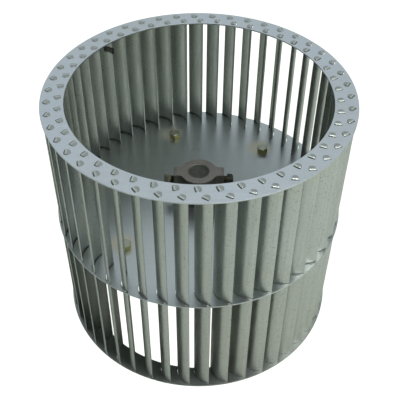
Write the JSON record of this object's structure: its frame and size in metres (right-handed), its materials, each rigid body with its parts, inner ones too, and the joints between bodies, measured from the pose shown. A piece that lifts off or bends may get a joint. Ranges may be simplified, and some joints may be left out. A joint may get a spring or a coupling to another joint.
{
  "type": "blower wheel",
  "caption": "Double-inlet squirrel-cage blower wheel: forward-curved sheet blades through a centre disc, rolled-over end rings, eared hub with square-head set screws.",
  "frame": {"origin": "on the wheel's axis, at the lowest point of the rolled blade tabs that it stands on", "axes": "+Z along the wheel's axis, from the end it stands on towards the end the hub's set screws face; +X along the right-hand set screw"},
  "size_m": [0.27, 0.27, 0.2474],
  "materials": {
    "galvanised_sheet": "satin mill finish, galvanised",
    "disc_sheet": "smooth semi-gloss cold-rolled sheet",
    "sintered_steel": "dull grey-brown sintered steel",
    "dark_zinc": "dark yellow-zinc plated",
    "yellow_zinc": "yellow-green zinc chromate",
    "spring_steel": "blackened spring steel"
  },
  "bodies": {
    "wheel": {"top_end_ring": "galvanised_sheet", "bottom_end_ring": "galvanised_sheet", "centre_disc": "disc_sheet", "hub": "sintered_steel", "blade_01": "galvanised_sheet", "blade_02": "galvanised_sheet", "blade_03": "galvanised_sheet", "blade_04": "galvanised_sheet", "blade_05": "galvanised_sheet", "blade_06": "galvanised_sheet", "blade_07": "galvanised_sheet", "blade_08": "galvanised_sheet", "blade_09": "galvanised_sheet", "blade_10": "galvanised_sheet", "blade_11": "galvanised_sheet", "blade_12": "galvanised_sheet", "blade_13": "galvanised_sheet", "blade_14": "galvanised_sheet", "blade_15": "galvanised_sheet", "blade_16": "galvanised_sheet", "blade_17": "galvanised_sheet", "blade_18": "galvanised_sheet", "blade_19": "galvanised_sheet", "blade_20": "galvanised_sheet", "blade_21": "galvanised_sheet", "blade_22": "galvanised_sheet", "blade_23": "galvanised_sheet", "blade_24": "galvanised_sheet", "blade_25": "galvanised_sheet", "blade_26": "galvanised_sheet", "blade_27": "galvanised_sheet", "blade_28": "galvanised_sheet", "blade_29": "galvanised_sheet", "blade_30": "galvanised_sheet", "blade_31": "galvanised_sheet", "blade_32": "galvanised_sheet", "blade_33": "galvanised_sheet", "blade_34": "galvanised_sheet", "blade_35": "galvanised_sheet", "blade_36": "galvanised_sheet", "blade_37": "galvanised_sheet", "blade_38": "galvanised_sheet", "blade_39": "galvanised_sheet", "blade_40": "galvanised_sheet", "blade_41": "galvanised_sheet", "blade_42": "galvanised_sheet", "blade_43": "galvanised_sheet", "blade_44": "galvanised_sheet", "blade_45": "galvanised_sheet", "blade_46": "galvanised_sheet", "balance_clip": "spring_steel", "disc_bolt_1": "yellow_zinc", "disc_bolt_2": "yellow_zinc", "disc_bolt_3": "yellow_zinc", "disc_bolt_4": "yellow_zinc", "disc_bolt_5": "yellow_zinc", "disc_bolt_6": "yellow_zinc"},
    "right_screw": {"set_screw_right": "dark_zinc"},
    "left_screw": {"set_screw_left": "dark_zinc"}
  },
  "joints": [
    {"name": "right_screw_travel", "type": "slide", "parent": "wheel", "child": "right_screw", "axis": [1, 0, 0], "range_m": [-0.002, 0.008]},
    {"name": "left_screw_travel", "type": "slide", "parent": "wheel", "child": "left_screw", "axis": [-1, 0, 0], "range_m": [-0.002, 0.008]}
  ]
}
